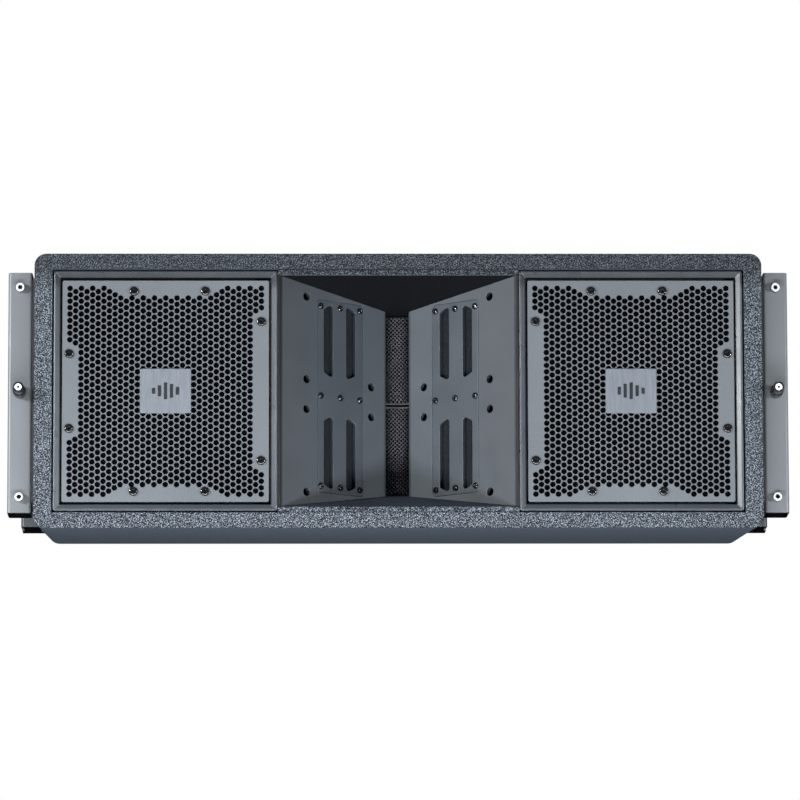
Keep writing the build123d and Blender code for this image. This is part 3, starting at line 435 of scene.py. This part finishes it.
def weave(origin, u, v, half_u, half_v, pitch, wire, angle, bulge=0.0):
    """Over and under woven threads filling a rectangle: vertices and faces of square tubes."""
    u, v, origin = np.array(u, float), np.array(v, float), np.array(origin, float)
    n = np.cross(u, v)
    verts, faces = [], []
    for turn in (0, 1):
        heading = angle + turn * math.pi / 2
        d = np.array((math.cos(heading), math.sin(heading)))
        side = np.array((-d[1], d[0]))
        reach = half_u + half_v
        for k in range(int(-reach / pitch), int(reach / pitch) + 1):
            start = side * k * pitch
            span = clip_line(start, d, half_u, half_v)
            if span is None:
                continue
            first, last = math.ceil(span[0] / pitch * 2), math.floor(span[1] / pitch * 2)
            if last - first < 1:
                continue
            steps = np.arange(first, last + 1)
            lift = np.cos(np.pi * (steps / 2 + k + turn)) * wire * 0.95
            flat = start[None, :] + d[None, :] * (steps * pitch / 2)[:, None]
            lift = lift + bulge * (1 - (flat[:, 0] / half_u) ** 2)
            path = origin + flat[:, :1] * u + flat[:, 1:] * v + lift[:, None] * n
            across = side[0] * u + side[1] * v
            base = len(verts)
            ring = [across * wire, n * wire, -across * wire, -n * wire]
            for p in path:
                verts.extend(p + r for r in ring)
            for i in range(len(path) - 1):
                for j in range(4):
                    a, b = base + 4 * i + j, base + 4 * i + (j + 1) % 4
                    faces.append((a, b, b + 4, a + 4))
            end = base + 4 * (len(path) - 1)
            faces.append((base + 3, base + 2, base + 1, base))
            faces.append((end, end + 1, end + 2, end + 3))
    return verts, faces


# throat screens: fine diagonal wire cloth in a folded upper and lower panel
low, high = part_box("hf_screens")
SCREEN_PITCH, SCREEN_WIRE, SCREEN_BULGE = 0.00290, 0.00042, 0.0025
mid_gap = (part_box("hf_waveguides")[1].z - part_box("hf_waveguides")[0].z) * 0.0125
half_v = (high.z - mid_gap) / 2
screen_verts, screen_faces = [], []
for sign in (-1, 1):
    centre = (0, (low.y + high.y) / 2, sign * (mid_gap + half_v))
    v, f = weave(centre, (1, 0, 0), (0, 0, 1), high.x, half_v, SCREEN_PITCH, SCREEN_WIRE, math.radians(45),
                 SCREEN_BULGE)
    screen_faces += [tuple(i + len(screen_verts) for i in face) for face in f]
    screen_verts += v
screen = new_piece("throat_screens", screen_verts, screen_faces, "screen", "cabinet")
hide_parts("hf_screens")

# cloth behind the slots, woven square to the wing
wing_angle = math.radians(40.2)
WING_MOUTH_X, WING_MOUTH_DEPTH = 0.1184, 0.002
CLOTH_ALONG_WING, CLOTH_BEHIND_WING, CLOTH_HALF_WIDTH = 0.078, 0.0053, 0.026
CLOTH_PITCH, CLOTH_THREAD = 0.0016, 0.00052
cloth_half_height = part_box("slot_fabrics")[1].z
cloth_verts, cloth_faces = [], []
for sign in (-1, 1):
    u = (-sign * math.cos(wing_angle), math.sin(wing_angle), 0)
    back = np.array((sign * math.sin(wing_angle), math.cos(wing_angle), 0))
    mouth = np.array((sign * WING_MOUTH_X, FRONT + WING_MOUTH_DEPTH, 0))
    surface = mouth + CLOTH_ALONG_WING * np.array(u)
    v, f = weave(surface + back * CLOTH_BEHIND_WING, u, (0, 0, 1), CLOTH_HALF_WIDTH, cloth_half_height,
                 CLOTH_PITCH, CLOTH_THREAD, 0.0)
    cloth_faces += [tuple(i + len(cloth_verts) for i in face) for face in f]
    cloth_verts += v
cloth = new_piece("slot_cloths", cloth_verts, cloth_faces, "slot_cloth", "cabinet")
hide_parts("slot_fabrics")


def foam_sheet(x_low, x_high):
    """Open cell foam slab with an uneven front, behind one grille."""
    low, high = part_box("grille_foams")
    nx, nz = 120, 130
    xs, zs = np.linspace(x_low, x_high, nx), np.linspace(low.z, high.z, nz)
    pits = rng.random((nz, nx)) * 0.0007 + 0.0003
    verts, faces = [], []
    for layer in (0, 1):
        for j in range(nz):
            for i in range(nx):
                depth = low.y + pits[j, i] if layer == 0 else high.y
                verts.append((xs[i], depth, zs[j]))
    count = nx * nz
    for j in range(nz - 1):
        for i in range(nx - 1):
            a = j * nx + i
            faces.append((a, a + 1, a + nx + 1, a + nx))
            faces.append((a + count, a + nx + count, a + nx + 1 + count, a + 1 + count))
    rim = [i for i in range(nx)] + [j * nx + nx - 1 for j in range(1, nz)]
    rim += [(nz - 1) * nx + i for i in range(nx - 2, -1, -1)] + [j * nx for j in range(nz - 2, 0, -1)]
    for a, b in zip(rim, rim[1:] + rim[:1]):
        faces.append((b, a, a + count, b + count))
    return verts, faces


foam_low, foam_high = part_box("grille_foams")
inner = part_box("grille_right")[0].x + 0.0018
foam_verts, foam_faces = foam_sheet(inner, foam_high.x)
more_verts, more_faces = foam_sheet(foam_low.x, -inner)
foam_faces += [tuple(i + len(foam_verts) for i in face) for face in more_faces]
foam_verts += more_verts
foam = new_piece("foam_sheets", foam_verts, foam_faces, "foam", "cabinet")
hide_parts("grille_foams")


# ---------------------------------------------------------------- studio
floor_mesh = bpy.data.meshes.new("floor")
size = 30.0
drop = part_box("cabinet_carcass")[0].z - 2.6
corners = [(-size, -size, drop), (size, -size, drop), (size, size, drop), (-size, size, drop)]
floor_mesh.from_pydata(corners, [], [(0, 1, 2, 3)])
floor = bpy.data.objects.new("floor", floor_mesh)
scene.collection.objects.link(floor)
pale = Graph("pale_floor")
pale_color = pale.mix(pale.ramp(pale.noise(2.0), 0.2, 0.8), (0.80, 0.80, 0.80), (0.86, 0.86, 0.86))
pale.surface(pale_color, 0.7, 0.0, pale.rounded(0.001), 0.0, 0.2)
lit_floor = pale.node("ShaderNodeEmission")
pale.link(pale_color, lit_floor.inputs["Color"])
floor_blend = pale.node("ShaderNodeMixShader")
seen_share = pale.math("MULTIPLY", pale.node("ShaderNodeLightPath").outputs["Is Camera Ray"], 0.85)
pale.link(seen_share, floor_blend.inputs[0])
pale.link(pale.out.inputs["Surface"].links[0].from_socket, floor_blend.inputs[1])
pale.link(lit_floor.outputs[0], floor_blend.inputs[2])
pale.link(floor_blend.outputs[0], pale.out.inputs["Surface"])
floor_mesh.materials.append(pale.material)

world = bpy.data.worlds.new("studio")
scene.world = world
world.use_nodes = True
tree = world.node_tree
tree.nodes.clear()
world_out = tree.nodes.new("ShaderNodeOutputWorld")
blend = tree.nodes.new("ShaderNodeMixShader")
path = tree.nodes.new("ShaderNodeLightPath")
soft = tree.nodes.new("ShaderNodeBackground")
soft.inputs[0].default_value = (0.90, 0.95, 1.0, 1.0)
soft.inputs[1].default_value = 0.09
seen = tree.nodes.new("ShaderNodeBackground")
seen.inputs[0].default_value = (1.0, 1.0, 1.0, 1.0)
seen.inputs[1].default_value = 1.0
tree.links.new(path.outputs["Is Camera Ray"], blend.inputs[0])
tree.links.new(soft.outputs[0], blend.inputs[1])
tree.links.new(seen.outputs[0], blend.inputs[2])
tree.links.new(blend.outputs[0], world_out.inputs[0])


def softbox(name, place, aim, width, height, watts, color=(1, 1, 1)):
    light = bpy.data.lights.new(name, "AREA")
    light.shape = "RECTANGLE"
    light.size, light.size_y = width, height
    light.energy = watts
    light.color = color
    obj = bpy.data.objects.new(name, light)
    obj.location = place
    obj.rotation_euler = (Vector(aim) - Vector(place)).to_track_quat("-Z", "Y").to_euler()
    scene.collection.objects.link(obj)


softbox("key_left", (-1.35, -1.15, 0.25), (0, 0, 0), 0.18, 0.18, 31, (0.95, 0.98, 1.0))
softbox("key_right", (1.35, -1.15, -0.10), (0, 0, 0), 0.18, 0.18, 18, (0.94, 0.98, 1.0))
softbox("top", (0, 0.65, 2.6), (0, 0.1, 0), 2.0, 1.0, 24, (1, 1, 1))
softbox("rear", (0.9, 2.4, 1.1), (0, 0, 0), 1.6, 1.0, 40, (1, 1, 1))
softbox("low_front", (-0.10, -1.0, -0.63), (-0.10, 0, -0.06), 1.7, 0.2, 25, (0.95, 0.98, 1.0))

# ---------------------------------------------------------------- camera
azimuth, elevation, distance = math.radians(-0.8), math.radians(-8.7), 6.4
flat = math.cos(elevation)
back = Vector((math.sin(azimuth) * flat, -math.cos(azimuth) * flat, math.sin(elevation)))
right = Vector((math.cos(azimuth), math.sin(azimuth), 0))
up = back.cross(right)
face_centre = Vector((0, FRONT, 0))
aim = face_centre + right * 0.0015 - up * 0.0098
camera_data = bpy.data.cameras.new("camera")
camera_data.lens = 36.0 * distance / 0.8048
camera_data.clip_end = 100.0
camera = bpy.data.objects.new("camera", camera_data)
camera.location = aim + back * distance
camera.rotation_euler = (back.to_track_quat("Z", "Y") @ Quaternion((0, 0, 1), math.radians(-0.13))).to_euler()
scene.collection.objects.link(camera)
scene.camera = camera
scene.view_settings.view_transform = "Standard"
